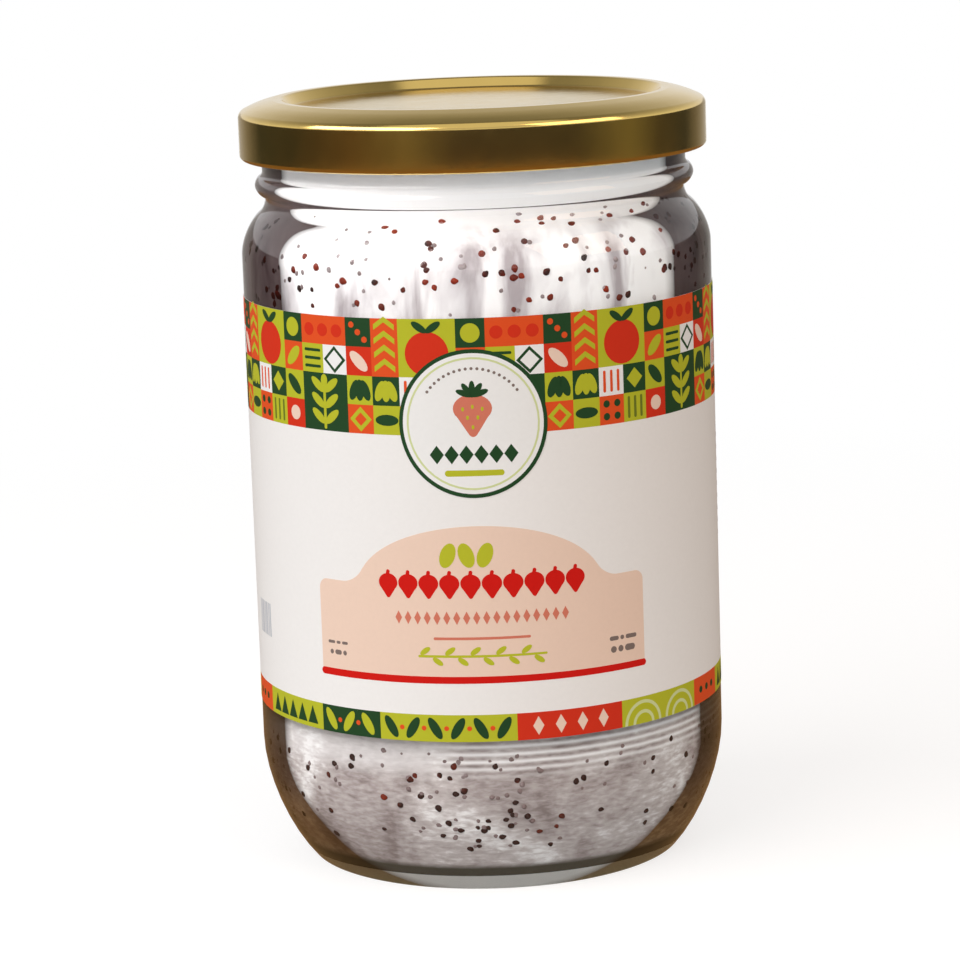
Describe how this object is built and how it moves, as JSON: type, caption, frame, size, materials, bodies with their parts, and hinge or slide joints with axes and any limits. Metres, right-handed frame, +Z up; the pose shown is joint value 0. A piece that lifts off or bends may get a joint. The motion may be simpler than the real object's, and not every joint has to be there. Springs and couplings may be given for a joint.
{
  "type": "jam jar",
  "caption": "Shut glass jam jar with a gold twist-off lid, pale jam full of small dark seeds, and a wrap-around paper label.",
  "frame": {"origin": "the middle of the base, on the plane the jar stands on", "axes": "+Z up along the jar's axis, -Y out through the middle of the label's front"},
  "size_m": [0.0864, 0.0863, 0.1403],
  "materials": {
    "glass": "clear moulded soda-lime glass, slightly rippled at the heel",
    "lid_metal": "gold-lacquered tinplate, satin",
    "jam": "wet, cloudy set jam with sunk seeds",
    "seeds": "small hard seeds",
    "label_paper": "smooth coated paper",
    "label_print": "printed colours on coated paper"
  },
  "bodies": {
    "root": {"jar": "glass", "lid": "lid_metal", "jam": "jam", "label": "label_paper"}
  },
  "joints": []
}
